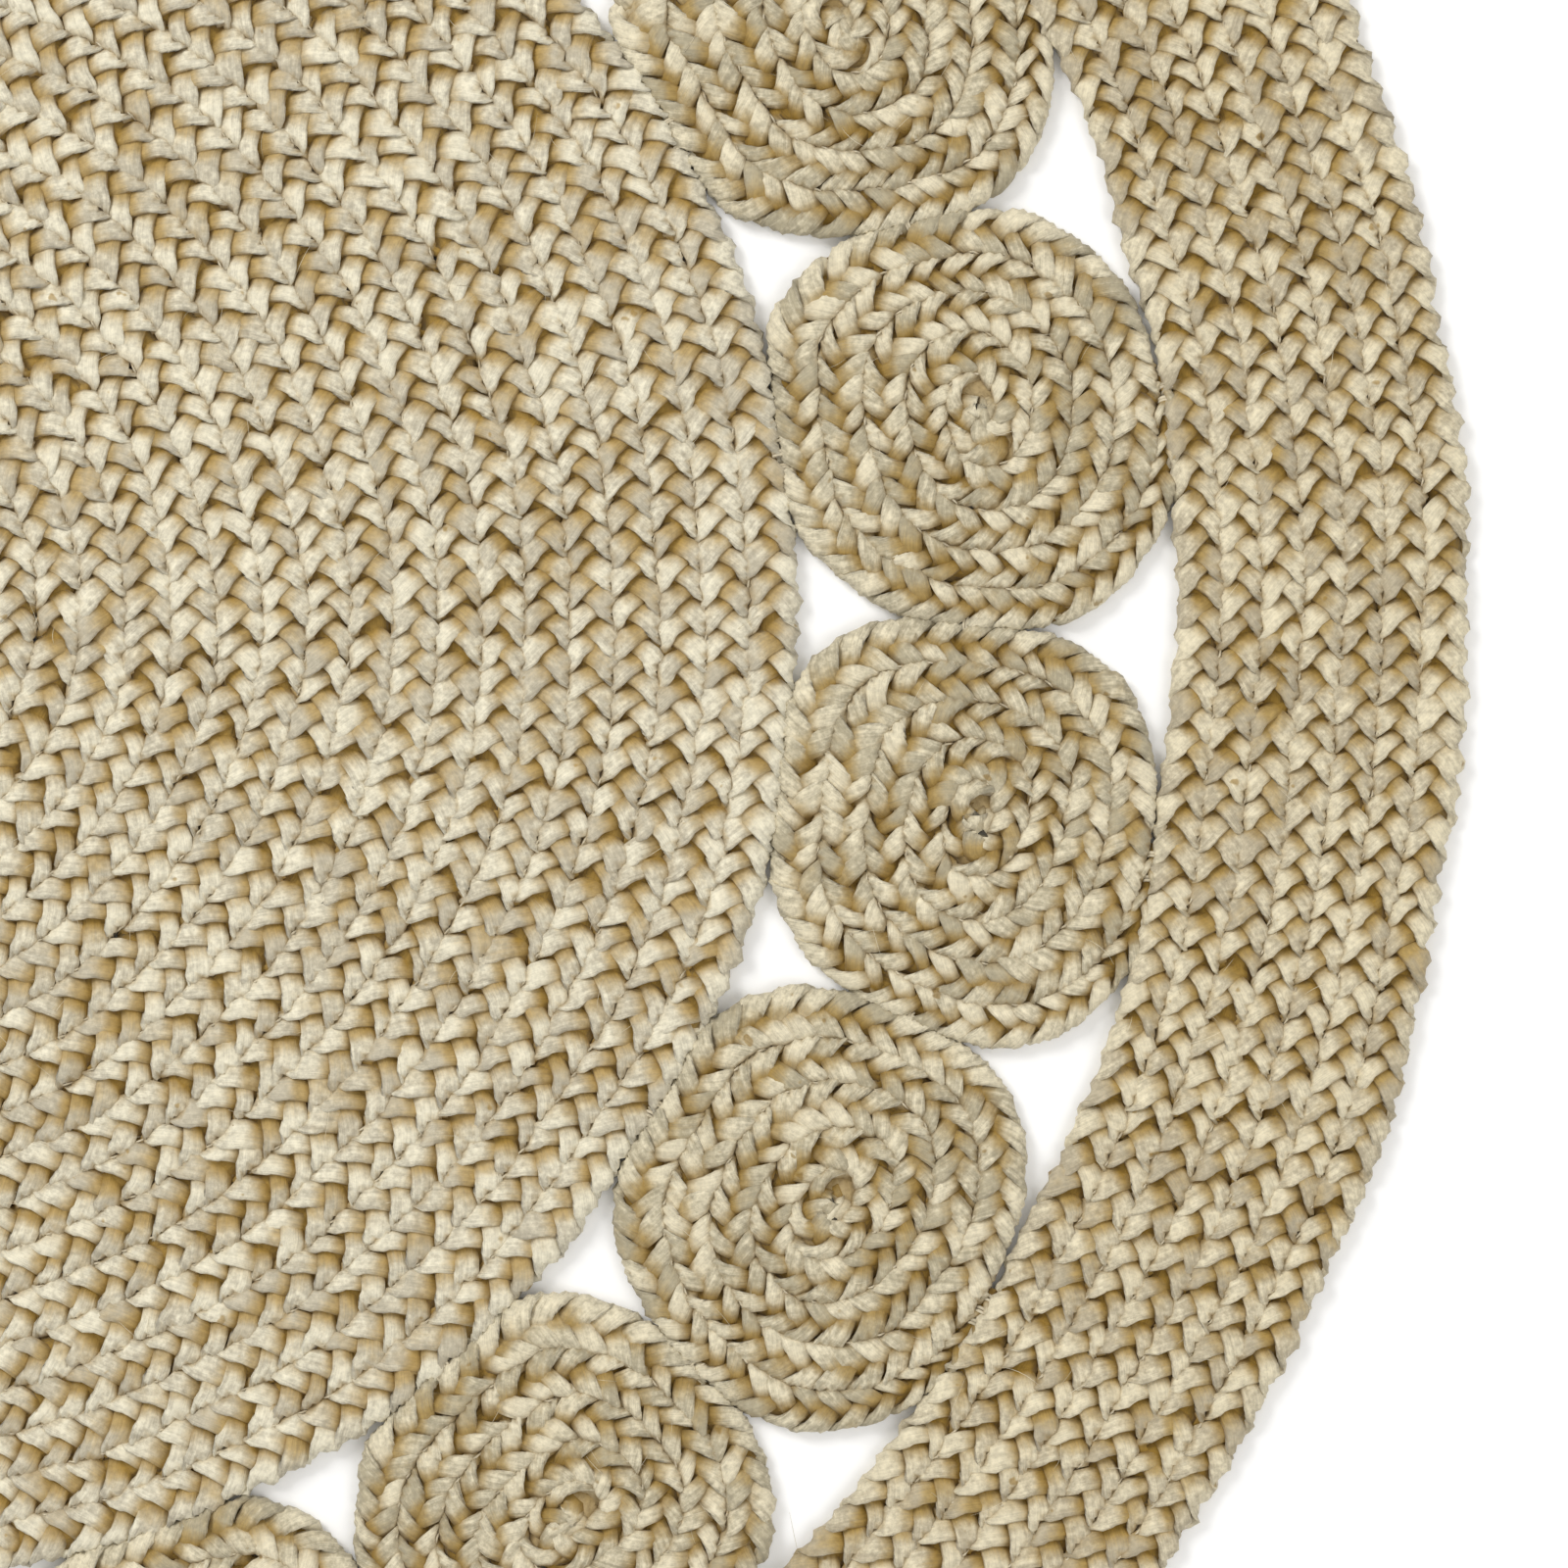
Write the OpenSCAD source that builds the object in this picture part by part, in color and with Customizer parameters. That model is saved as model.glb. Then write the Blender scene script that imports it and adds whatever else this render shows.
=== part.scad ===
// Round plaited jute rug: a coiled centre, a ring of coiled rosettes and a coiled outer band,
// each one long flat three-strand plait, sewn along its own seam and stitched to its neighbours.
// The rug lies on z = 0 with its middle over the origin.

/* [Rug] */
// Diameter over the outer band
rug_d = 1500; // [900:50:2400]
// Thickness of the flat plait
plait_h = 10; // [7:0.5:14]

/* [Outer band] */
// Turns of plait across the band
band_rows = 7; // [4:1:10]
// Width taken by one turn of the band's plait
band_row = 19; // [14:0.5:26]

/* [Rosettes] */
// Number of rosettes in the ring
rosette_count = 18; // [12:1:26]
// Turns of plait in a rosette, from its middle to its rim
rosette_rows = 5; // [3:1:7]

/* [Centre] */
// Turns of plait in the centre, from its middle to its rim
centre_rows = 22; // [14:1:32]

/* [Sewing] */
// Gap between two turns, filled by the seam thread
seam_gap = 0.8; // [0.6:0.1:1.4]
// Height of the seam thread's zigzag inside the gap
thread_h = 3; // [2:0.5:3]
// Gap between two coils where they are stitched together
join_gap = 0.8; // [0.6:0.1:1.4]
// Stitches at each place where two coils meet
stitch_count = 3; // [1:1:4]
// Distance between neighbouring stitches
stitch_pitch = 6; // [4:0.5:8]
// Width of one stitch, two passes of jute twine
stitch_w = 2.4; // [1.6:0.2:3]

/* [Plait edges] */
// Bevel that stands for the rounded edge of the plait
edge = 2; // [1:0.25:2.5]

/* [Hidden] */
$fn = 120;
// Slack of every thread and stitch in its gap
slack = 0.15;
// Thickness of the seam thread, pressed flat in its gap
thread_t = seam_gap - 2 * slack;
// How far a stitch stays under the face of the plait
sunk = 0.4;
// Width at which a tapered plait end is cut and tucked away
tip_w = edge + 0.6;
// Reach of a cutting shape past what it cuts
past = 1;

// Row width in whole hundredths that fills a closed coil of radius r, so that half turns meet exactly
function row_in(r, rows) = floor(100 * (r + seam_gap) / rows) / 100;

// Sine of half the angle between two rosettes
half_step_sin = sin(180 / rosette_count);
band_in_r = rug_d / 2 - (band_rows * band_row - seam_gap);
ring_r = (band_in_r - join_gap / 2) / (1 + half_step_sin);
rosette_r = ring_r * half_step_sin - join_gap / 2;
rosette_row = row_in(rosette_r, rosette_rows);
centre_r = ring_r - rosette_r - join_gap;
centre_row = row_in(centre_r, centre_rows);

// Heading of the first rosette, and the way the tucked ends of the large coils face
first_rosette = 9;
large_coil_turn = 205;

straw = [0.79, 0.73, 0.59];
straw_light = [0.84, 0.78, 0.66];
straw_gold = [0.74, 0.65, 0.47];
twine = [0.69, 0.62, 0.49];

function rosette_name(i) = str("rosette_", i < 10 ? "0" : "", i);
function rosette_heading(i) = first_rosette + (i - 1) * 360 / rosette_count;

// A coil is made of half turns. The upper ones are centred on its middle and the lower ones half
// a row to the side, so that every turn lies one row further out than the last.

// Angle at which a tapered end has thinned to the tip width
function taper_angle(row) = acos(1 - 2 * (row - seam_gap - tip_w) / row);

// Section of the plait from radius r_in to r_out, with bevelled edges
module plait_section(r_in, r_out) {
    inner_edge = r_in > 0 ? edge : 0;
    polygon([
        [r_in + inner_edge, 0],
        [r_out - edge, 0],
        [r_out, edge],
        [r_out, plait_h - edge],
        [r_out - edge, plait_h],
        [r_in + inner_edge, plait_h],
        [r_in, plait_h - inner_edge],
        [r_in, inner_edge],
    ]);
}

module upper_turn(r_in, r_out) {
    rotate_extrude(angle = 180) plait_section(r_in, r_out);
}

module lower_turn(r_in, r_out, row) {
    translate([row / 2, 0, 0]) rotate_extrude(angle = 180, start = 180) plait_section(r_in, r_out);
}

// The half turns of a coil that starts at radius r0
module turns(r0, rows, row) {
    width = row - seam_gap;
    for (k = [0 : rows - 1]) upper_turn(r0 + k * row, r0 + k * row + width);
    for (k = [0 : rows - 2]) lower_turn(r0 + (k + 0.5) * row, r0 + (k + 0.5) * row + width, row);
}

// Last half turn: it thins from full width until it can be tucked under, so the rim stays round
module tapered_tail(r0, rows, row) {
    rim = r0 + rows * row - seam_gap;
    inner = r0 + (rows - 0.5) * row;
    reach = rim + past;
    intersection() {
        rotate_extrude() plait_section(0, rim);
        linear_extrude(plait_h) difference() {
            translate([-reach, -reach]) square([reach - rim * cos(taper_angle(row)), reach]);
            translate([row / 2, 0]) circle(inner);
        }
    }
}

// First half turn of an open coil: it thickens from its tip along the round inner rim
module tapered_head(r0, row) {
    outer = r0 + row / 2 - seam_gap;
    reach = outer + row;
    difference() {
        intersection() {
            translate([row / 2, 0, 0]) rotate_extrude() plait_section(0, outer);
            translate([r0 * cos(taper_angle(row)), -reach, 0]) cube([2 * reach, reach, plait_h]);
        }
        rotate_extrude() bevelled_hole(r0);
    }
}

// Half section of a hole of radius r through the plait, with the plait's bevel on both faces
module bevelled_hole(r) {
    polygon([
        [0, -past],
        [r + edge + past, -past],
        [r, edge],
        [r, plait_h - edge],
        [r + edge + past, plait_h + past],
        [0, plait_h + past],
    ]);
}

// Seam thread in the gap outside each turn
module seam_thread(r0, rows, row, first_lower) {
    width = row - seam_gap;
    z0 = (plait_h - thread_h) / 2;
    for (k = [0 : rows - 2]) rotate_extrude(angle = 180)
        translate([r0 + k * row + width + slack, z0]) square([thread_t, thread_h]);
    for (k = [first_lower : rows - 2]) translate([row / 2, 0, 0])
        rotate_extrude(angle = k < rows - 2 ? 180 : taper_angle(row), start = 180)
            translate([r0 + (k + 0.5) * row + width + slack, z0]) square([thread_t, thread_h]);
}

module closed_coil(rows, row) {
    turns(0, rows, row);
    lower_turn(0, row / 2 - seam_gap, row);
    tapered_tail(0, rows, row);
}

module centre_plait() {
    color(straw) rotate(large_coil_turn) closed_coil(centre_rows, centre_row);
}

module band_plait() {
    color(straw_gold) rotate(large_coil_turn) {
        turns(band_in_r, band_rows, band_row);
        tapered_tail(band_in_r, band_rows, band_row);
        tapered_head(band_in_r, band_row);
    }
}

// Turns a rosette so that its tucked end faces the open corner before the band
module at_rosette(i) {
    tuck = 180 + taper_angle(rosette_row) / 2 + 90;
    rotate(rosette_heading(i)) translate([ring_r, 0, 0]) rotate(50 - tuck) children();
}

module rosette(i) {
    color(straw_light) at_rosette(i) closed_coil(rosette_rows, rosette_row);
}

module centre_seam_thread() {
    color(twine) rotate(large_coil_turn) seam_thread(0, centre_rows, centre_row, -1);
}

module band_seam_thread() {
    color(twine) rotate(large_coil_turn) seam_thread(band_in_r, band_rows, band_row, 0);
}

module rosette_seam_threads() {
    color(twine) for (i = [1 : rosette_count])
        at_rosette(i) seam_thread(0, rosette_rows, rosette_row, -1);
}

// Stitch seen along the seam: a waist in the gap, spread over the bevelled edges above and below
module stitch() {
    waist = join_gap / 2 - slack;
    spread = waist + edge - sunk;
    rotate([90, 0, 0]) linear_extrude(stitch_w, center = true) polygon([
        [-spread, sunk],
        [spread, sunk],
        [waist, edge],
        [waist, plait_h - edge],
        [spread, plait_h - sunk],
        [-spread, plait_h - sunk],
        [-waist, plait_h - edge],
        [-waist, edge],
    ]);
}

// A row of stitches along Y, across the seam that runs through the origin
module stitch_row() {
    for (j = [0 : stitch_count - 1])
        translate([0, (j - (stitch_count - 1) / 2) * stitch_pitch, 0]) stitch();
}

module rosette_to_centre_stitches() {
    color(twine) for (i = [1 : rosette_count])
        rotate(rosette_heading(i)) translate([centre_r + join_gap / 2, 0, 0]) stitch_row();
}

module rosette_to_band_stitches() {
    color(twine) for (i = [1 : rosette_count])
        rotate(rosette_heading(i)) translate([band_in_r - join_gap / 2, 0, 0]) stitch_row();
}

module rosette_to_rosette_stitches() {
    color(twine) for (i = [1 : rosette_count])
        rotate(rosette_heading(i + 0.5)) translate([ring_r * cos(180 / rosette_count), 0, 0])
            rotate(90) stitch_row();
}

centre_plait();
band_plait();
for (i = [1 : rosette_count]) rosette(i);
centre_seam_thread();
band_seam_thread();
rosette_seam_threads();
rosette_to_centre_stitches();
rosette_to_band_stitches();
rosette_to_rosette_stitches();
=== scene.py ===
"""A round rug of plaited jute: a coiled centre, a ring of eighteen coiled rosettes and a coiled outer
band, sewn along their seams and stitched to each other. It lies flat on a pale floor."""
import math

import bmesh
import bpy
import numpy as np
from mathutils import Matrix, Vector


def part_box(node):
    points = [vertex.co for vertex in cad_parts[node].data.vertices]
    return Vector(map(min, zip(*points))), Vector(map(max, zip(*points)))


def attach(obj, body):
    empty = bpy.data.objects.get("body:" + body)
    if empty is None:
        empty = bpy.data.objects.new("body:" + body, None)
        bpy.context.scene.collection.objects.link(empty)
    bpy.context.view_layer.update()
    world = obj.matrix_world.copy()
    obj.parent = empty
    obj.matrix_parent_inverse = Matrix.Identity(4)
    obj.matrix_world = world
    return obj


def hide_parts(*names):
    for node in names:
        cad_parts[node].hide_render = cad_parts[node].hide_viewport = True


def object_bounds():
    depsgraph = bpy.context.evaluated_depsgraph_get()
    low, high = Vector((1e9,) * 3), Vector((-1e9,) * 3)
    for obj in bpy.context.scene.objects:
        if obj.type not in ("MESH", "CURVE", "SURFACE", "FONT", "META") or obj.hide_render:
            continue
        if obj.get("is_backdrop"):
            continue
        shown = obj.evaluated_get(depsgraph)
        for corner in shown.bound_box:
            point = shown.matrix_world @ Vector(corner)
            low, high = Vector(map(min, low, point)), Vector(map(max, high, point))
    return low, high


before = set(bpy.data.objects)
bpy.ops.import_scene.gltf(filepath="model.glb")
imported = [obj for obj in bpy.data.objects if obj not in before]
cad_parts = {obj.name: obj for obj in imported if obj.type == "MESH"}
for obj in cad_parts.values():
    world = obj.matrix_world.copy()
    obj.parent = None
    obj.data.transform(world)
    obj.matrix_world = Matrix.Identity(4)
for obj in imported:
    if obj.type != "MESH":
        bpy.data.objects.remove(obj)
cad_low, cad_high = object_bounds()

# ---------------------------------------------------------------------------------------------
# The centre. One long flat plait of three thick jute strands is wound from its middle outwards,
# edge to edge. Each strand is a flattened bundle of unspun fibres that rolls over at the plait's
# edge, so that both faces of the plait show two columns of slanting lobes.

plait_h = cad_high.z - cad_low.z
seam_gap = 0.0008
centre_turns = 22
centre_pitch = 0.0145           # length of plait from one lobe to the next along an edge
large_coil_turn = math.radians(205)

centre_low, centre_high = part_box("centre_plait")
centre_r = (centre_high.x - centre_low.x) / 2
centre_row = (centre_r + seam_gap) / centre_turns


def inner_edge(angle, r0, row):
    """Radius of a coil's inner edge at an unwound angle: it grows over the lower half of each turn."""
    turn = np.floor(angle / (2 * np.pi))
    within = angle - 2 * np.pi * turn
    shift = row / 2
    big = r0 + (turn + 0.5) * row
    sine = shift * np.sin(within)
    lower = shift * np.cos(within) + np.sqrt(np.maximum(big ** 2 - sine ** 2, 0))
    return np.where(within <= np.pi, r0 + turn * row, lower)


def round_coil(radius, angle):
    """Where a point of a coil lies that is wound in a true circle about the rug's middle."""
    return np.stack([radius * np.cos(angle), radius * np.sin(angle)], -1)


# How far a coil laid by hand lies outside its true place, at four distances from the rug's middle
rug_r = cad_high.y
band_inner_edge = 0.618
grown_at = (0, centre_r, band_inner_edge, rug_r)
grown_by = (0, 0.012, 0.003, 0)


def hand_laid(place):
    """The same points as they lie in a rug that is coiled by hand, a little off their true circles.

    The centre has come out a little large, so that it presses the rosettes against the band.
    """
    radius = np.hypot(place[..., 0], place[..., 1])
    grown = 1 + np.interp(radius, grown_at, grown_by) / np.maximum(radius, 1e-6)
    x, y = place[..., 0] * grown, place[..., 1] * grown
    off_x = 0.0012 * np.sin(21 * y + 9 * x + 0.4) + 0.0008 * np.sin(47 * y - 30 * x + 2.1)
    off_y = 0.0012 * np.sin(19 * x - 11 * y + 1.3) + 0.0008 * np.sin(43 * x + 35 * y + 0.2)
    return np.stack([x + off_x, y + off_y], -1)


points_per_turn = 700
tip_share = 0.3                 # share of a row below which a thinning end is tucked away


class Course:
    """The middle line of a coiled plait, with its outward side and its half width along the way.

    laid gives the place of a point from its radius and its unwound angle in a true coil.
    """

    def __init__(self, laid, r0, rim, row, turns):
        first = -np.pi if r0 > 0 else -np.pi / 2
        angle = np.linspace(first, 2 * np.pi * turns, points_per_turn * turns)
        outside = np.minimum(inner_edge(angle + 2 * np.pi, r0, row) - seam_gap, rim)
        inside = np.maximum(inner_edge(angle, r0, row), r0)
        inside = np.maximum(inside, outside - (row - seam_gap))
        tip = tip_share * row
        kept = outside - inside > tip
        inner = hand_laid(laid(inside[kept], angle[kept]))
        outer = hand_laid(laid(outside[kept], angle[kept]))
        self.place = (inner + outer) / 2
        self.half = np.linalg.norm(outer - inner, axis=1) / 2
        step = np.diff(self.place, axis=0)
        self.along = np.concatenate([[0], np.cumsum(np.hypot(step[:, 0], step[:, 1]))])
        ahead = np.gradient(self.place, axis=0)
        ahead /= np.linalg.norm(ahead, axis=1)[:, None]
        self.outward = np.stack([ahead[:, 1], -ahead[:, 0]], 1)
        self.full = (row - seam_gap) / 2
        inner_bare = (inside[kept] <= r0 + tip) * (r0 > 0)
        outer_bare = outside[kept] >= rim - tip
        self.bare = (inner_bare, outer_bare)

    def at(self, s):
        """Place, outward side and half width at lengths s along the plait."""
        place = np.stack([np.interp(s, self.along, self.place[:, k]) for k in (0, 1)], 1)
        outward = np.stack([np.interp(s, self.along, self.outward[:, k]) for k in (0, 1)], 1)
        outward /= np.linalg.norm(outward, axis=1)[:, None]
        return place, outward, np.interp(s, self.along, self.half)

    def rim_at(self, s):
        """1 where the inner side, or the outer side, has no next turn against it, and 0 elsewhere."""
        return [np.interp(s, self.along, side.astype(float)) for side in self.bare]


def hand_made(rng, count, every, amount):
    """A smooth random run: a new value every so many rings, eased from one to the next."""
    values = rng.normal(0, amount, count // every + 3).clip(-2 * amount, 2 * amount)
    place = np.arange(count) / every
    k = place.astype(int)
    t = place - k
    t = t * t * (3 - 2 * t)
    return values[k] * (1 - t) + values[k + 1] * t


rings_per_lobe = 8
strand_sides = 8
strand_around = 0.024           # girth of a strand, for its fibre map
stray_phase = 0.20              # radians, how early or late a lobe comes
stray_width = 0.13              # share of the strand's width
stray_thickness = 0.12          # share of its thickness
stray_sideways = 0.0005
stray_height = 0.0003
stray_roll = 7                  # degrees
crossing_steepness = 1.2
most_swollen = 1.25
least_thick = 0.6
floor_clear = 0.0001
lobe_proud = 0.0006             # how far a full lobe stands above the plait's thickness
# how far along a lobe the painted golden shade at its tucked end spreads
tuck_spread = 0.44


def strand_rings(
    course, which, pitch, rng, wide, thick, rough, press=0.0012, fold=(90, -0.2), quick=0.08, boxy=0.75
):
    """Rings of points along one of a plait's three strands, with their lobe tone, tuck and painted depth
    shade.

    wide and thick are half sizes of the flattened strand, rough scales its strays, and press is how far
    its lobes bulge past the plait's edge. fold is how far the strand rolls between the edge and the
    middle, in degrees, and how sharply. quick flattens its sway at the edges, and boxy below 1 squares
    its section. Tuck is 1 where a lobe goes under the next one, and the shader paints golden shade there.
    The depth shade is painted shade: near 1 half way between the plait's faces, and none on a side that
    faces an open rim.
    """
    repeat = 3 * pitch
    count = int(course.along[-1] / repeat * 2 * rings_per_lobe)
    phase = np.arange(count) * np.pi / rings_per_lobe
    s = phase / (2 * np.pi) * repeat
    place, outward, half = course.at(s)
    scale = (half / course.full).clip(0, most_swollen)

    def wander(every, amount):
        return hand_made(rng, count, every * rings_per_lobe, amount * rough)

    phi = -phase + which * 2 * np.pi / 3 + wander(2, stray_phase)
    a = wide * scale * (1 + wander(1, stray_width))
    b = thick * np.maximum(scale, least_thick) * (1 + wander(1, stray_thickness))
    reach = (half + press - thick * scale) / (1 - quick)
    x = reach * (np.sin(phi) + quick * np.sin(3 * phi)) + wander(1, stray_sideways)
    climb = np.tanh(crossing_steepness * np.sin(2 * phi)) / math.tanh(crossing_steepness)
    z = plait_h / 2 + (plait_h / 2 - thick) * climb + wander(1, stray_height)
    rolled_over = fold[0] * (np.cos(phi) + fold[1] * np.cos(3 * phi))
    roll = np.radians(-90 + rolled_over + wander(1, stray_roll))

    middle = np.concatenate([place + outward * x[:, None], z[:, None]], 1)
    ahead = np.gradient(middle, axis=0)
    ahead /= np.linalg.norm(ahead, axis=1)[:, None]
    across = np.cross(ahead, [0, 0, 1.0])
    across /= np.linalg.norm(across, axis=1)[:, None]
    across *= np.sign((across[:, :2] * outward).sum(1))[:, None]
    above = np.cross(across, ahead)
    above *= np.sign(above[:, 2])[:, None]

    turn = np.linspace(0, 2 * np.pi, strand_sides + 1) + np.pi / strand_sides
    flat = a[:, None] * np.sign(np.cos(turn)) * np.abs(np.cos(turn)) ** boxy
    tall = b[:, None] * np.sign(np.sin(turn)) * np.abs(np.sin(turn)) ** boxy
    cos, sin = np.cos(roll)[:, None], np.sin(roll)[:, None]
    u = flat * cos - tall * sin
    v = flat * sin + tall * cos
    points = middle[:, None] + across[:, None] * u[:, :, None] + above[:, None] * v[:, :, None]
    points[:, :, 2] = points[:, :, 2].clip(floor_clear, plait_h + lobe_proud)
    # Painted shade: golden where the lobe goes under the next, and dark half way between the plait's
    # faces, except on a side that faces an open rim
    tuck = np.exp(-(np.sin(phi) / tuck_spread) ** 2)
    level = np.abs(2 * points[:, :, 2] / plait_h - 1)
    offset = x[:, None] + u
    at_rim = course.rim_at(s)
    bare = np.maximum(at_rim[1][:, None] * offset, -at_rim[0][:, None] * offset) / course.full
    shown = ((level - 0.2) / 0.62).clip(0, 1)
    open_side = ((bare - 0.45) / 0.3).clip(0, 1)
    depth_shade = 0.95 * (1 - shown) * (1 - open_side)
    return points, s, wander(1, 1.0), tuck, depth_shade


inner_width = 0.94              # share of the plait's width
inner_thickness = 0.0007
# how far the strip is painted dark, as the shade between the strands
inner_shade = 0.75


def shade_strip(course, step):
    """A thin flat strip along a plait's middle, between its strands, painted dark as the shade there."""
    count = int(course.along[-1] / step)
    s = np.arange(count) * course.along[-1] / (count - 1)
    place, outward, half = course.at(s)
    turn = np.linspace(0, 2 * np.pi, 5)
    wide = inner_width * half[:, None] * np.cos(turn)
    flat = place[:, None] + outward[:, None] * wide[:, :, None]
    tall = np.broadcast_to(plait_h / 2 + inner_thickness * np.sin(turn), wide.shape)
    points = np.concatenate([flat, tall[:, :, None]], 2)
    return points, s, np.zeros(count), np.ones(count), np.full(wide.shape, inner_shade)


# Three folds of a plait's first end, one on another: half length and half width as shares of a row,
# half height, and the heading of the fold in radians
knot_folds = (
    (0.95, 0.85, 0.0012, 0.9),
    (0.60, 0.36, 0.0036, -0.5),
    (0.47, 0.24, 0.0049, 0.35),
)
fold_rings = 11


def folded_start(laid, row, rng):
    """The plait's first end, folded into a flat knot that fills the middle of its coil."""
    folds = []
    for reach, wide, high, lean in knot_folds:
        t = np.linspace(0, 1, fold_rings)
        swell = np.sqrt(np.maximum(1 - (2 * t - 1) ** 2, 0.02))
        x = reach * row * (2 * t - 1)
        turn = np.linspace(0, 2 * np.pi, strand_sides + 1)
        across = wide * row * swell[:, None] * np.cos(turn) + 0.0012 * np.sin(4 * t)[:, None]
        up = high * swell[:, None] ** 0.6 * np.sin(turn)
        knot_x = x[:, None] * math.cos(lean) - across * math.sin(lean) + 0.06 * row
        knot_y = x[:, None] * math.sin(lean) + across * math.cos(lean) - 0.20 * row
        flat = hand_laid(laid(np.hypot(knot_x, knot_y), np.arctan2(knot_y, knot_x)))
        points = np.concatenate([flat, (plait_h / 2 + up)[:, :, None]], 2)
        # Painted shade: darker half way between the knot's faces, and golden shade towards the ends of
        # each fold
        depth_shade = 0.9 * (1 - np.abs(up) / 0.0042).clip(0, 1)
        tone = np.full(fold_rings, rng.normal())
        folds.append((points, 0.02 * t, tone, 0.5 * (1 - swell), depth_shade))
    return folds


def tubes_piece(name, tubes, row_m, around_m, closed=False, abreast=1):
    """Tubes over rings of points, as one mesh, with a fibre map and a bake map.

    The fibre map runs in metres along and around each tube, around_m being a tube's girth. The bake map
    folds each tube into rows of up to row_m, or sets so many short tubes abreast in a row.
    """
    form = bmesh.new()
    form.loops.layers.uv.new("fibre")
    # lobe holds a random tone per lobe; tuck and the depth shade say where the shader paints shade
    lobe_layer = form.verts.layers.float.new("lobe")
    tuck_layer = form.verts.layers.float.new("tuck")
    deep_layer = form.verts.layers.float.new("depth_shade")
    for points, s, lobe, tuck, depth_shade in tubes:
        count, sides = points.shape[0], points.shape[1] - 1
        made = bmesh.ops.create_grid(form, x_segments=count - 1, y_segments=sides, size=1, calc_uvs=True)
        for k, vert in enumerate(made["verts"]):
            vert.co = points[k % count, k // count]
            vert[lobe_layer] = lobe[k % count]
            vert[tuck_layer] = tuck[k % count]
            vert[deep_layer] = depth_shade[k % count, k // count]
        rims = made["verts"] if closed else made["verts"][:count] + made["verts"][-count:]
        bmesh.ops.remove_doubles(form, verts=rims, dist=1e-6)
    tube_faces = len(form.faces)
    open_ends = [edge for edge in form.edges if edge.is_boundary]
    bmesh.ops.holes_fill(form, edges=open_ends, sides=strand_sides)
    bmesh.ops.recalc_face_normals(form, faces=form.faces)
    mesh = bpy.data.meshes.new(name)
    form.to_mesh(mesh)
    form.free()
    mesh.polygons.foreach_set("use_smooth", [True] * len(mesh.polygons))
    piece = bpy.data.objects.new(name, mesh)
    bpy.context.scene.collection.objects.link(piece)

    bake = mesh.uv_layers.new(name="OFBake")
    fibre = mesh.uv_layers["fibre"]
    raw = np.zeros(2 * len(mesh.loops), np.float32)
    fibre.uv.foreach_get("vector", raw)
    corner = raw.reshape(-1, 2)[:4 * tube_faces].reshape(-1, 4, 2).astype(float)
    folded = np.zeros_like(corner)
    metres = np.zeros_like(corner)
    rows = [max(1, math.ceil(s[-1] / row_m)) for _, s, _, _, _ in tubes]
    first_face, first_row = 0, 0
    for number, ((points, s, _, _, _), own_rows) in enumerate(zip(tubes, rows)):
        cells, sides = points.shape[0] - 1, points.shape[1] - 1
        faces = slice(first_face, first_face + cells * sides)
        ring = corner[faces, :, 0] * cells
        column = np.round(ring.min(axis=1))
        per_row = math.ceil(cells / own_rows)
        row = np.floor(column / per_row)
        within = 0.001 + 0.998 * (ring - (row * per_row)[:, None]) / per_row
        folded[faces, :, 0] = (number % abreast + within) / abreast
        high = 0.06 + 0.88 * corner[faces, :, 1]
        folded[faces, :, 1] = (first_row + row[:, None] + high) * abreast / sum(rows)
        metres[faces, :, 0] = ring * s[1] + 3.7 * first_row
        metres[faces, :, 1] = corner[faces, :, 1] * around_m
        first_face += cells * sides
        first_row += own_rows if (number + 1) % abreast == 0 else 0
    for layer, values in ((bake, folded), (fibre, metres)):
        spread = np.zeros((len(mesh.loops), 2), np.float32)
        spread[:4 * tube_faces] = values.reshape(-1, 2)
        layer.uv.foreach_set("vector", spread.ravel())
    return piece


def add(tree, kind, **settings):
    """A new shader node with its settings."""
    made = tree.nodes.new(kind)
    for key, value in settings.items():
        setattr(made, key, value)
    return made


def math_node(tree, operation, first, second=0.0, third=0.0, clamp=False):
    """A Math node, whose inputs are numbers or sockets."""
    made = add(tree, "ShaderNodeMath", operation=operation, use_clamp=clamp)
    for socket, value in zip(made.inputs, (first, second, third)):
        if isinstance(value, (int, float)):
            socket.default_value = value
        else:
            tree.links.new(value, socket)
    return made.outputs[0]


def mixed(tree, factor, first, second, blend="MIX"):
    """A colour Mix node, whose inputs are numbers, colours or sockets."""
    made = add(tree, "ShaderNodeMix", data_type="RGBA", blend_type=blend)
    for socket, value in ((made.inputs[0], factor), (made.inputs[6], first), (made.inputs[7], second)):
        if isinstance(value, bpy.types.NodeSocket):
            tree.links.new(value, socket)
        else:
            socket.default_value = value
    return made.outputs[2]


def noise(tree, vector, scale, detail=3.0, roughness=0.55):
    """A noise pattern of that scale over the coordinates."""
    made = add(tree, "ShaderNodeTexNoise")
    made.inputs["Scale"].default_value = scale
    made.inputs["Detail"].default_value = detail
    made.inputs["Roughness"].default_value = roughness
    tree.links.new(vector, made.inputs["Vector"])
    return made.outputs["Fac"]


def stepped(tree, value, low, high, to_low=0.0, to_high=1.0):
    """A smooth step from to_low to to_high as the value goes from low to high."""
    made = add(tree, "ShaderNodeMapRange", interpolation_type="SMOOTHSTEP")
    for socket, number in zip(made.inputs[1:5], (low, high, to_low, to_high)):
        socket.default_value = number
    tree.links.new(value, made.inputs[0])
    return made.outputs[0]


def stretched(tree, vector, scale):
    """Coordinates multiplied along each axis."""
    made = add(tree, "ShaderNodeMapping")
    made.inputs["Scale"].default_value = scale
    tree.links.new(vector, made.inputs["Vector"])
    return made.outputs[0]


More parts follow.
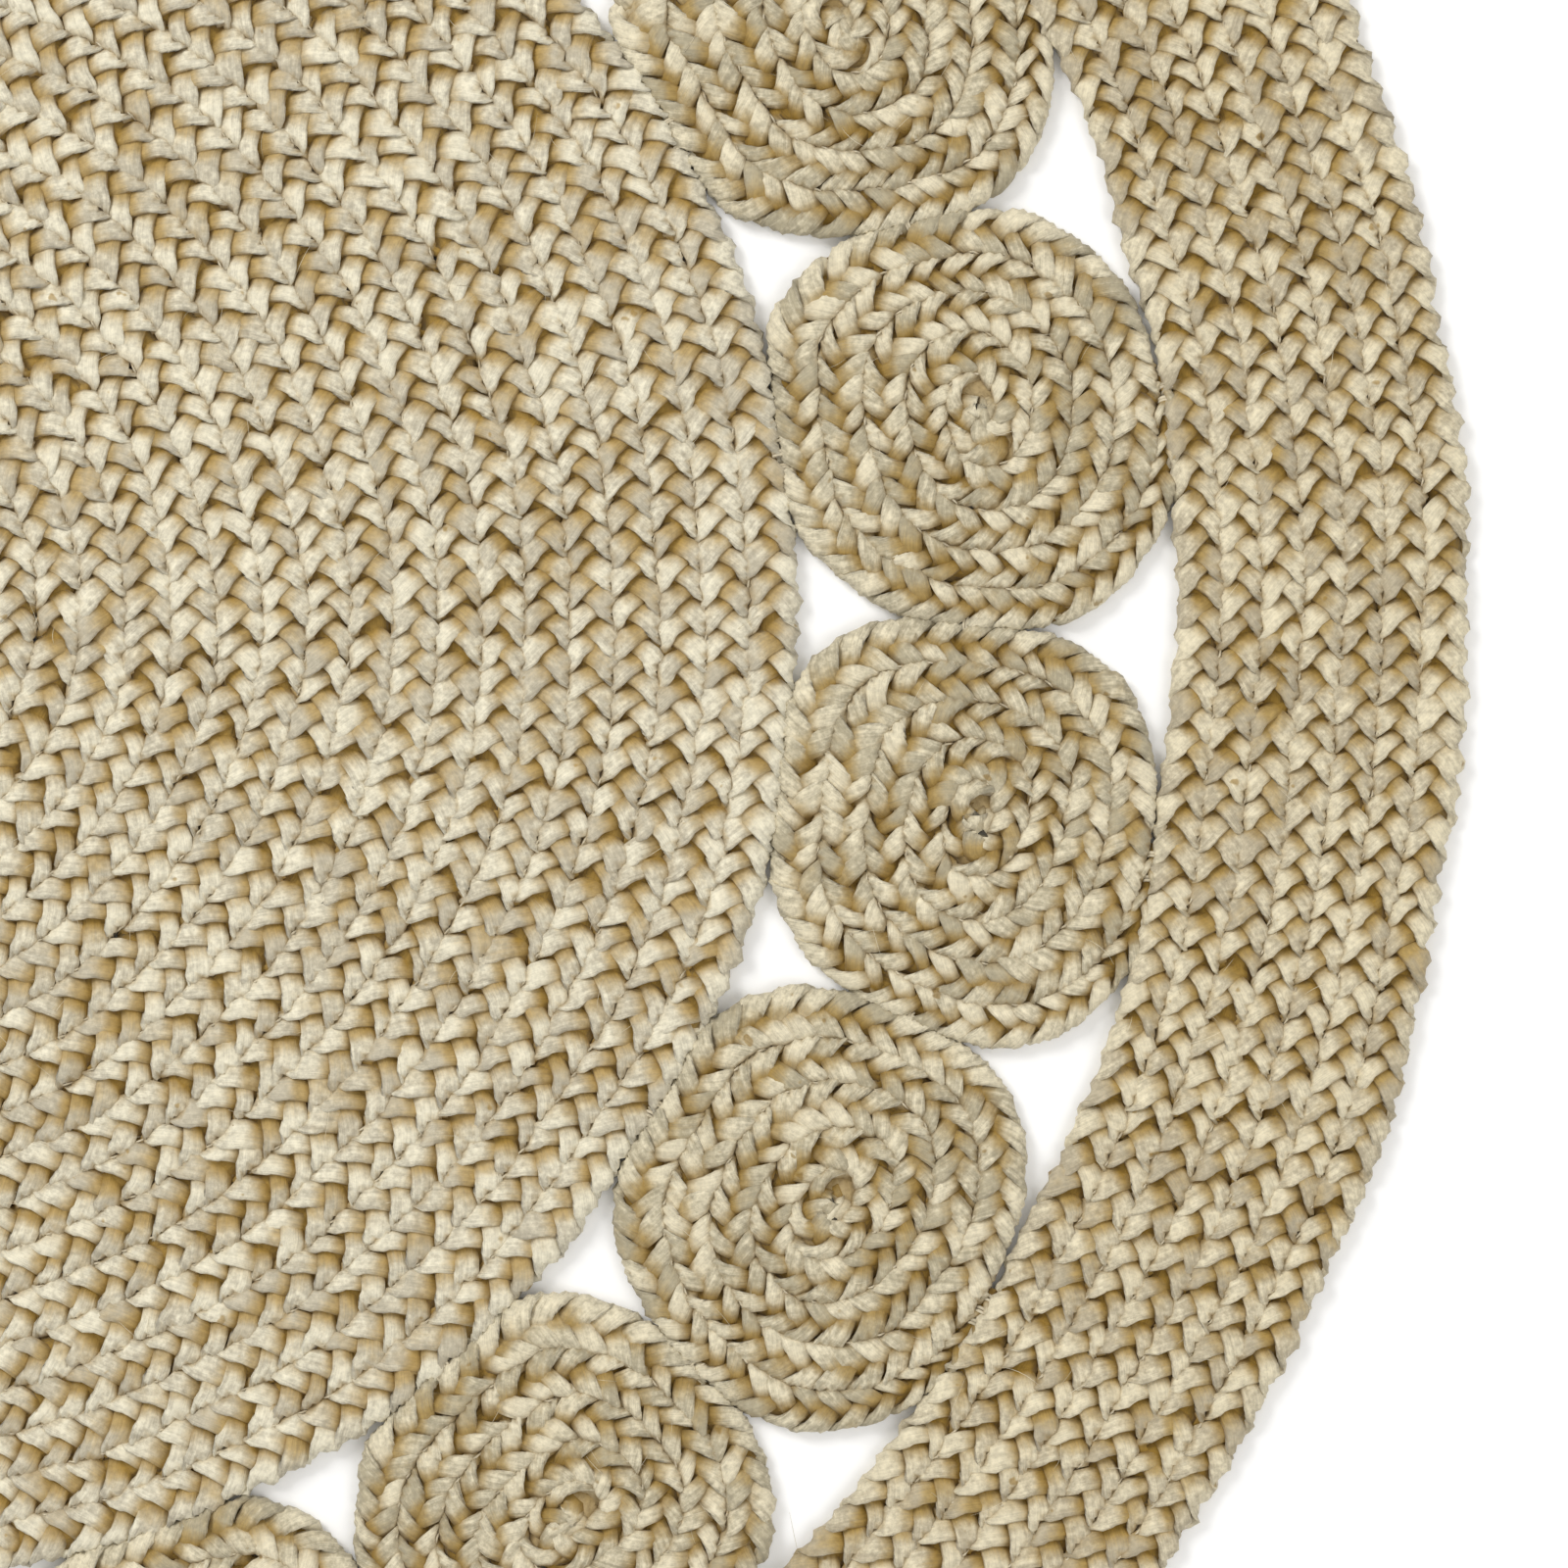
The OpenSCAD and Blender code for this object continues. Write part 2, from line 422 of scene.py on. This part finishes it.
def build_jute_fibres():
    """Colour, roughness and relief of a bundle of jute fibres that run along the fibre map's U."""
    group = bpy.data.node_groups.new("jute fibres", "ShaderNodeTree")
    for name in ("Pale", "Grey", "Gold", "Dark"):
        group.interface.new_socket(name, in_out="INPUT", socket_type="NodeSocketColor")
    group.interface.new_socket("Color", in_out="OUTPUT", socket_type="NodeSocketColor")
    group.interface.new_socket("Roughness", in_out="OUTPUT", socket_type="NodeSocketFloat")
    group.interface.new_socket("Relief", in_out="OUTPUT", socket_type="NodeSocketFloat")
    given = add(group, "NodeGroupInput")
    result = add(group, "NodeGroupOutput")
    fibre = add(group, "ShaderNodeUVMap", uv_map="fibre").outputs[0]
    place = add(group, "ShaderNodeTexCoord").outputs["Object"]
    lobe = add(group, "ShaderNodeAttribute", attribute_name="lobe").outputs["Fac"]
    tuck = add(group, "ShaderNodeAttribute", attribute_name="tuck").outputs["Fac"]

    threads = noise(group, stretched(group, fibre, (90, 2000, 1)), 1.0, 3.0, 0.6)
    bundles = noise(group, stretched(group, fibre, (80, 620, 1)), 1.0, 2.0, 0.5)
    patches = noise(group, place, 62.0, 2.0)
    mottle = noise(group, place, 330.0, 3.0, 0.65)

    # Pale and grey bundles, some whole lobes paler than others
    tone = math_node(group, "MULTIPLY_ADD", lobe, 0.24, bundles)
    tone = math_node(group, "MULTIPLY_ADD", mottle, 0.75, tone)
    colour = mixed(group, stepped(group, tone, 0.50, 1.22), given.outputs["Grey"], given.outputs["Pale"])
    # Golden in random patches, and painted golden shade where a lobe is tucked under the next
    gold = math_node(group, "MULTIPLY_ADD", lobe, -0.07, patches)
    gold = math_node(group, "MULTIPLY_ADD", tuck, 0.50, gold)
    gold = math_node(group, "MULTIPLY_ADD", threads, 0.25, gold)
    gold = stepped(group, gold, 0.70, 1.26)
    colour = mixed(group, gold, colour, given.outputs["Gold"])

    # Dark flecks of stem, and painted shade in the depths between the strands and where lobes tuck under
    fleck = stepped(group, noise(group, place, 95.0, 2.0), 0.70, 0.76, 0.0, 0.7)
    colour = mixed(group, fleck, colour, given.outputs["Dark"])
    depth_shade = add(group, "ShaderNodeAttribute", attribute_name="depth_shade").outputs["Fac"]
    depth_shade = math_node(group, "MULTIPLY_ADD", tuck, 0.22, depth_shade, clamp=True)
    colour = mixed(group, depth_shade, colour, given.outputs["Dark"])
    # Light and dark single fibres
    fine = math_node(group, "MULTIPLY", threads, 0.6)
    shade = math_node(group, "MULTIPLY_ADD", mottle, 0.9, fine)
    shade = stepped(group, shade, 0.45, 1.05, 0.76, 1.16)
    shades = add(group, "ShaderNodeCombineColor")
    for socket in shades.inputs:
        group.links.new(shade, socket)
    colour = mixed(group, 1.0, colour, shades.outputs[0], "MULTIPLY")
    group.links.new(colour, result.inputs["Color"])
    group.links.new(stepped(group, threads, 0.2, 0.8, 0.92, 0.72), result.inputs["Roughness"])
    relief = math_node(group, "MULTIPLY_ADD", bundles, 1.1, threads)
    group.links.new(relief, result.inputs["Relief"])
    return group


jute_fibres = build_jute_fibres()


def jute(name, pale, grey, gold, dark, relief_m=0.0005):
    """Unspun jute: matt, with a little sheen from its loose fibres."""
    material = bpy.data.materials.new(name)
    material.use_nodes = True
    tree = material.node_tree
    surface = tree.nodes["Principled BSDF"]
    surface.inputs["Sheen Weight"].default_value = 0.12
    surface.inputs["Sheen Roughness"].default_value = 0.6
    surface.inputs["Specular IOR Level"].default_value = 0.25
    fibres = add(tree, "ShaderNodeGroup", node_tree=jute_fibres)
    for socket, value in zip(("Pale", "Grey", "Gold", "Dark"), (pale, grey, gold, dark)):
        fibres.inputs[socket].default_value = (*value, 1)
    bump = add(tree, "ShaderNodeBump")
    bump.inputs["Strength"].default_value = 0.8
    bump.inputs["Distance"].default_value = relief_m
    tree.links.new(fibres.outputs["Color"], surface.inputs["Base Color"])
    tree.links.new(fibres.outputs["Roughness"], surface.inputs["Roughness"])
    tree.links.new(fibres.outputs["Relief"], bump.inputs["Height"])
    tree.links.new(bump.outputs["Normal"], surface.inputs["Normal"])
    return material


def large_coil(radius, angle):
    """Where a point of the centre or the band lies, with its coil's two ends turned to their heading."""
    return round_coil(radius, angle + large_coil_turn)


centre_jute = jute(
    "centre jute",
    pale=(0.71, 0.66, 0.51),
    grey=(0.49, 0.44, 0.33),
    gold=(0.45, 0.33, 0.15),
    dark=(0.32, 0.195, 0.036),
)
strip_step = 0.012
bake_row = 1.0
centre_course = Course(large_coil, 0, centre_r, centre_row, centre_turns)
rng = np.random.default_rng(11)
for which, letter in enumerate("abc"):
    rings = strand_rings(centre_course, which, centre_pitch, rng, wide=0.0056, thick=0.0024, rough=1.25)
    folds = folded_start(large_coil, centre_row, rng) if letter == "a" else []
    strand = tubes_piece("centre_strand_" + letter, [rings, *folds], bake_row, strand_around)
    strand.data.materials.append(centre_jute)
    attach(strand, "root")
    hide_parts("centre_plait")
strip = shade_strip(centre_course, strip_step)
inside = tubes_piece("centre_shade_strip", [strip], bake_row, strand_around)
inside.data.materials.append(centre_jute)
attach(inside, "root")
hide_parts("centre_plait")

# ---------------------------------------------------------------------------------------------
# The outer band. It is the same plait, a little coarser and more golden, laid round the rosettes in
# seven turns. Its head is tapered along the inner rim and its tail along the outer one.

band_turns = 7
band_pitch = 0.0152

band_low, band_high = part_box("band_plait")
band_r = (band_high.x - band_low.x) / 2
first_low, first_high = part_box("rosette_01")
first_middle = (first_low + first_high) / 2
rosette_r = (first_high.x - first_low.x) / 2
ring_r = math.hypot(first_middle.x, first_middle.y)
join_gap = ring_r - rosette_r - centre_r
band_in_r = ring_r + rosette_r + join_gap
band_row = (band_r + seam_gap - band_in_r) / band_turns

band_jute = jute(
    "band jute",
    pale=(0.67, 0.60, 0.43),
    grey=(0.44, 0.38, 0.265),
    gold=(0.40, 0.28, 0.10),
    dark=(0.28, 0.165, 0.022),
)
band_course = Course(large_coil, band_in_r, band_r, band_row, band_turns)
rng = np.random.default_rng(12)
for which, letter in enumerate("abc"):
    rings = strand_rings(band_course, which, band_pitch, rng, wide=0.0058, thick=0.0024, rough=1.2)
    strand = tubes_piece("band_strand_" + letter, [rings], bake_row, strand_around)
    strand.data.materials.append(band_jute)
    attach(strand, "root")
    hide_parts("band_plait")
strip = shade_strip(band_course, strip_step)
inside = tubes_piece("band_shade_strip", [strip], bake_row, strand_around)
inside.data.materials.append(band_jute)
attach(inside, "root")
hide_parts("band_plait")

# ---------------------------------------------------------------------------------------------
# The rosettes. Eighteen small coils of a looser plait, each wound from a flattened knot at its
# middle and squeezed between its neighbours. Their lobes are longer and stand further apart.

rosette_count = 18
rosette_turns = 5
rosette_pitch = 0.0132
rosette_strip_step = 0.008
rosette_row = (rosette_r + seam_gap) / rosette_turns

rosette_bake_row = 0.36
rosette_jute = jute(
    "rosette jute",
    pale=(0.69, 0.62, 0.45),
    grey=(0.41, 0.36, 0.245),
    gold=(0.38, 0.265, 0.095),
    dark=(0.24, 0.14, 0.018),
)

# The tucked end of a rosette faces the open corner before the band
tip_w = 0.0026
tuck_heading = math.radians(50)
taper_angle = math.acos(1 - 2 * (rosette_row - seam_gap - tip_w) / rosette_row)
rosette_turned = tuck_heading - math.radians(180 + 90) - taper_angle / 2

pressed_r = rosette_r + 0.0026
corner_r = 1.08 * rosette_r
corner_shift = 0.065 * rosette_r        # how much fuller a rosette is towards the centre
corner_out = 0.95
corner_along = 1.014
squareness = 20
squeeze_growth = 1.3                    # how fast the squeeze fades towards a rosette's middle
oval = 0.2
ring_shift = 0.0024
ring_lean = 0.0061                      # radians


def leaning(ring):
    """How far round the rug the ring of rosettes leans at this radius: most against the centre."""
    return ring_lean * (1 + (ring_r - ring) / pressed_r) ** 2


def squeezed_coil(heading, turned):
    """A rosette's coil, squeezed by its four neighbours: flat where they touch, full at its corners."""

    def laid(radius, angle):
        way = angle + turned
        out = (radius / rosette_r) ** squeeze_growth
        cos, sin = np.abs(np.cos(way)), np.abs(np.sin(way))
        corner = (corner_r - corner_shift * np.cos(way)) / np.hypot(corner_out * cos, corner_along * sin)
        sides = (cos / pressed_r) ** squareness + (sin / pressed_r) ** squareness
        limit = (sides + corner ** -squareness) ** (-1 / squareness)
        radius = radius * (1 + (limit / rosette_r - 1) * out)
        squash = oval * (1 - out) ** 2
        ring = ring_r + ring_shift + radius * np.cos(way) * (1 - squash)
        turn = heading + radius * np.sin(way) * (1 + squash) / ring_r + leaning(ring)
        return round_coil(ring, turn)

    return laid


rosette_coils = []
rosette_courses = []
for number in range(1, rosette_count + 1):
    node = "rosette_%02d" % number
    low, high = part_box(node)
    middle = (low + high) / 2
    heading = math.atan2(middle.y, middle.x)
    laid = squeezed_coil(heading, rosette_turned)
    course = Course(laid, 0, rosette_r, rosette_row, rosette_turns)
    rosette_coils.append(laid)
    rosette_courses.append(course)
    rng = np.random.default_rng(100 + number)
    strands = [
        strand_rings(
            course,
            which,
            rosette_pitch,
            rng,
            wide=0.0050,
            thick=0.0028,
            rough=1.2,
            press=0.0018,
            fold=(102, -0.06),
            quick=0.03,
            boxy=0.95,
        )
        for which in range(3)
    ]
    strands += [shade_strip(course, rosette_strip_step), *folded_start(laid, rosette_row, rng)]
    rosette = tubes_piece("rosette_coil_%02d" % number, strands, rosette_bake_row, strand_around)
    rosette.data.materials.append(rosette_jute)
    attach(rosette, "root")
    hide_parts(node)

# ---------------------------------------------------------------------------------------------
# The seam twine. A thin jute twine is worked up and down through the edges of two neighbouring turns
# all the way round each coil, and draws them flush. Little of it shows between the lobes.

seam_stitch = 0.014
rings_per_stitch = 4
twine_r = 0.00045
twine_sides = 4
twine_around = 0.003
twine_sway = 0.0007
twine_stray = 0.0003
twine_inset = 0.0007            # how far the twine stays under the faces of the plait
seam_points_per_turn = 500
seam_end = 0.3                  # turns left unsewn at the outer end
twine_jute = jute(
    "sewing twine",
    pale=(0.62, 0.55, 0.40),
    grey=(0.47, 0.41, 0.29),
    gold=(0.45, 0.33, 0.16),
    dark=(0.36, 0.25, 0.12),
    relief_m=0.0001,
)


def round_rings(middle, across, radius, sides):
    """Rings of a round tube about a line of points, where across is level and square to the line."""
    ahead = np.gradient(middle, axis=0)
    above = np.cross(across, ahead)
    above /= np.linalg.norm(above, axis=1)[:, None]
    turn = np.linspace(0, 2 * np.pi, sides + 1)
    radius = np.asarray(radius).reshape(-1, 1)
    u, v = radius * np.cos(turn), radius * np.sin(turn)
    return middle[:, None] + across[:, None] * u[:, :, None] + above[:, None] * v[:, :, None]


def seam_rings(laid, r0, row, turns, rng):
    """The twine along the seam between the turns of one coil."""
    angle = np.linspace(2 * np.pi, 2 * np.pi * (turns - seam_end), seam_points_per_turn * turns)
    line = hand_laid(laid(inner_edge(angle, r0, row) - seam_gap / 2, angle))
    step = np.diff(line, axis=0)
    along = np.concatenate([[0], np.cumsum(np.hypot(step[:, 0], step[:, 1]))])
    count = int(along[-1] / seam_stitch * rings_per_stitch)
    s = np.arange(count) * seam_stitch / rings_per_stitch
    line = np.stack([np.interp(s, along, line[:, k]) for k in (0, 1)], 1)
    ahead = np.gradient(line, axis=0)
    ahead /= np.linalg.norm(ahead, axis=1)[:, None]
    outward = np.stack([ahead[:, 1], -ahead[:, 0]], 1)
    phase = 2 * np.pi * s / seam_stitch
    sway = twine_sway * np.sin(phase) + hand_made(rng, count, rings_per_stitch, twine_stray)
    z = plait_h / 2 + (plait_h / 2 - twine_inset) * np.tanh(3 * np.cos(phase))
    middle = np.concatenate([line + outward * sway[:, None], z[:, None]], 1)
    across = np.concatenate([outward, np.zeros((count, 1))], 1)
    # Painted shade: the twine is darker where it runs half way between the plait's faces, down between the
    # turns
    depth_shade = np.tile(0.6 * (1 - np.abs(2 * z / plait_h - 1))[:, None], twine_sides + 1)
    tone = hand_made(rng, count, rings_per_stitch, 1.0)
    return round_rings(middle, across, twine_r, twine_sides), s, tone, np.zeros(count), depth_shade


# For each coiled part: the CAD node of its seam, the length of a row in the bake map, and its coils
seams = {
    "centre": ("centre_seam_thread", 1.0, [(large_coil, 0, centre_row, centre_turns)]),
    "band": ("band_seam_thread", 1.0, [(large_coil, band_in_r, band_row, band_turns)]),
    "rosette": (
        "rosette_seam_threads",
        1.4,
        [(laid, 0, rosette_row, rosette_turns) for laid in rosette_coils],
    ),
}
rng = np.random.default_rng(13)
for coil, (node, row_m, coils) in seams.items():
    tubes = [seam_rings(*one_coil, rng) for one_coil in coils]
    twine = tubes_piece(coil + "_seam_twine", tubes, row_m, twine_around)
    twine.data.materials.append(twine_jute)
    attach(twine, "root")
    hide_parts(node)

# ---------------------------------------------------------------------------------------------
# The stitches that join the coils. At each place where two coils meet, three stitches of doubled
# jute twine go over and under the seam, a few millimetres in from both edges, and are pulled tight.

stitch_pitch = 0.006
stitch_reach = 0.0034
stitch_r = 0.00075
stitch_inset = 0.0024           # how far the stitches' middle line stays under the faces
stitch_pull = 0.0005            # how far a tight stitch bites in half way over the seam
stitch_slant = 0.0008
stitch_bake_row = 0.05
stitch_around = 0.005
loop_rings = 15
stitch_sides = 6
stitch_jute = jute(
    "stitch twine",
    pale=(0.58, 0.51, 0.37),
    grey=(0.45, 0.39, 0.27),
    gold=(0.40, 0.28, 0.13),
    dark=(0.25, 0.15, 0.06),
    relief_m=0.00015,
)


def stitch_loops(place, heading, rng):
    """Two passes of twine round the seam at a place in the plane; the seam runs square to the heading."""
    loops = []
    turn = np.linspace(0, 2 * np.pi, loop_rings)
    out = np.array([math.cos(heading), math.sin(heading)])
    side = np.array([-out[1], out[0]])
    for offset in (-1, 1):
        wide = stitch_reach * np.sign(np.cos(turn)) * np.abs(np.cos(turn)) ** 0.7
        tall = (plait_h / 2 - stitch_inset) * np.sign(np.sin(turn)) * np.abs(np.sin(turn)) ** 0.6
        tall -= stitch_pull * np.sin(turn) ** 3
        beside = offset * stitch_r * 0.95 + rng.normal(0, 0.0002)
        flat = place + out * wide[:, None] + side * (beside + stitch_slant * np.sin(turn))[:, None]
        middle = np.concatenate([hand_laid(flat), (plait_h / 2 + tall)[:, None]], 1)
        across = np.tile([side[0], side[1], 0.0], (loop_rings, 1))
        ahead = np.gradient(middle, axis=0)
        ahead[0] = ahead[-1] = middle[1] - middle[-2]
        above = np.cross(across, ahead)
        above /= np.linalg.norm(above, axis=1)[:, None]
        around = np.linspace(0, 2 * np.pi, stitch_sides + 1)
        u, v = stitch_r * np.cos(around), stitch_r * np.sin(around)
        points = middle[:, None] + across[:, None] * u[None, :, None] + above[:, None] * v[None, :, None]
        points[-1] = points[0]
        points[:, -1] = points[:, 0]
        tone = np.full(loop_rings, rng.normal())
        along = 0.002 * np.arange(loop_rings)
        loops.append((points, along, tone, 0 * tone, np.zeros((loop_rings, stitch_sides + 1))))
    return loops


half_step = math.pi / rosette_count
meet_r = ring_r * math.cos(half_step)
# For each kind of join: its distance from the rug's middle, how far round it lies from a rosette's
# heading, and which way its seam is turned
joins = {
    "rosette_to_centre": (centre_r + join_gap / 2, 0, 0),
    "rosette_to_band": (band_in_r - join_gap / 2, 0, 0),
    "rosette_to_rosette": (meet_r, half_step + leaning(meet_r), math.pi / 2),
}
rng = np.random.default_rng(14)
for join, (radius, offset, turned) in joins.items():
    loops = []
    for number in range(rosette_count):
        heading = math.atan2(first_middle.y, first_middle.x) + 2 * half_step * number + offset
        out = np.array([math.cos(heading), math.sin(heading)])
        across = np.array([math.cos(heading + turned), math.sin(heading + turned)])
        side = np.array([-across[1], across[0]])
        for k in (-1, 0, 1):
            loops += stitch_loops(radius * out + side * k * stitch_pitch, heading + turned, rng)
    stitches = tubes_piece(join + "_twine", loops, stitch_bake_row, stitch_around, closed=True)
    stitches.data.materials.append(stitch_jute)
    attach(stitches, "root")
    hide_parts(join + "_stitches")

# ---------------------------------------------------------------------------------------------
# The loose fibres. Single jute fibres have worked out of the plaits all over the upper face. They
# lie in low curved sweeps on it, held at one end or at both.

fibres_abreast = 40
fibre_rows = 25
fibre_points = 6
fibre_sides = 3
fibre_around = 0.001
fibre_sunk = 0.0012             # how far the held ends lie under the upper face


def loose_fibre(course, rng):
    """One fine fibre over the turns of a coil, clear of the coil's outermost turn."""
    last_turn = 2 * np.pi * np.linalg.norm(course.place[-1] - course.place.mean(axis=0))
    start = np.array([rng.uniform(0.01, course.along[-1] - last_turn)])
    place, outward, half = course.at(start)
    t = np.linspace(0, 1, fibre_points)
    way = rng.choice([-1, 1]) * rng.uniform(0.2, 1.1) + rng.normal(0, 0.5) * t
    way += math.atan2(outward[0, 0], -outward[0, 1])
    step = rng.uniform(0.008, 0.022) / (fibre_points - 1)
    run = np.cumsum(np.stack([np.cos(way), np.sin(way)], 1), axis=0) * step
    flat = place + outward * half * rng.uniform(-0.8, 0.8) + run
    z = plait_h - fibre_sunk + rng.uniform(0.0014, 0.0028) * np.sin(np.pi * t * rng.uniform(0.6, 1.0))
    middle = np.concatenate([flat, z[:, None]], 1)
    across = np.stack([-np.sin(way), np.cos(way), 0 * way], 1)
    thick = rng.uniform(0.00009, 0.00016) * (1 - 0.6 * np.abs(2 * t - 1))
    tone = np.full(fibre_points, rng.normal())
    rings = round_rings(middle, across, thick, fibre_sides)
    return rings, step * np.arange(fibre_points), tone, 0 * tone, np.zeros((fibre_points, fibre_sides + 1))


fibre_jute = jute(
    "loose jute",
    pale=(0.72, 0.65, 0.48),
    grey=(0.45, 0.39, 0.26),
    gold=(0.43, 0.30, 0.13),
    dark=(0.28, 0.18, 0.07),
    relief_m=0.00005,
)
rng = np.random.default_rng(15)
all_courses = [centre_course, band_course, *rosette_courses]
lengths = np.array([course.along[-1] for course in all_courses])
chosen = rng.choice(len(all_courses), fibres_abreast * fibre_rows, p=lengths / lengths.sum())
hairs = [loose_fibre(all_courses[k], rng) for k in chosen]
fuzz = tubes_piece("loose_fibres", hairs, bake_row, fibre_around, abreast=fibres_abreast)
fuzz.data.materials.append(fibre_jute)
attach(fuzz, "root")

# ---------------------------------------------------------------------------------------------
# The floor, the light and the camera. A pale studio floor under soft light from all round, looked
# at from straight above through a long lens.

floor_half = 6
floor_mesh = bpy.data.meshes.new("floor")
form = bmesh.new()
bmesh.ops.create_grid(form, x_segments=1, y_segments=1, size=floor_half)
form.to_mesh(floor_mesh)
form.free()
floor = bpy.data.objects.new("floor", floor_mesh)
bpy.context.scene.collection.objects.link(floor)
floor_paint = bpy.data.materials.new("pale floor")
floor_paint.use_nodes = True
floor_surface = floor_paint.node_tree.nodes["Principled BSDF"]
floor_surface.inputs["Base Color"].default_value = (0.94, 0.94, 0.94, 1)
floor_surface.inputs["Roughness"].default_value = 0.9
floor_mesh.materials.append(floor_paint)
floor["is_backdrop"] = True

world = bpy.data.worlds.new("studio")
world.use_nodes = True
studio_light = world.node_tree.nodes["Background"]
studio_light.inputs["Color"].default_value = (1.0, 0.99, 0.97, 1)
studio_light.inputs["Strength"].default_value = 0.71
bpy.context.scene.world = world
bpy.context.scene.view_settings.view_transform = "Standard"


def studio_lamp(name, place, size, power):
    """A square soft lamp that faces the rug's middle."""
    light = bpy.data.lights.new(name, "AREA")
    light.size = size
    light.energy = power
    lamp = bpy.data.objects.new(name, light)
    lamp.location = place
    lamp.rotation_euler = (-Vector(place)).to_track_quat("-Z", "Y").to_euler()
    bpy.context.scene.collection.objects.link(lamp)
    lamp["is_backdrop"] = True


studio_lamp("key_lamp", (-1.8, 2.0, 2.6), 1.6, 88)
studio_lamp("fill_lamp", (2.4, -1.2, 2.6), 2.2, 35)

camera_data = bpy.data.cameras.new("camera")
camera_data.lens = 100
view_width = 0.9484 * rug_r
view_x = 0.588 * rug_r
view_y = -0.1055 * rug_r
camera = bpy.data.objects.new("camera", camera_data)
camera.location = (view_x, view_y, cad_high.z + view_width * camera_data.lens / camera_data.sensor_width)
bpy.context.scene.collection.objects.link(camera)
bpy.context.scene.camera = camera

low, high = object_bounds()
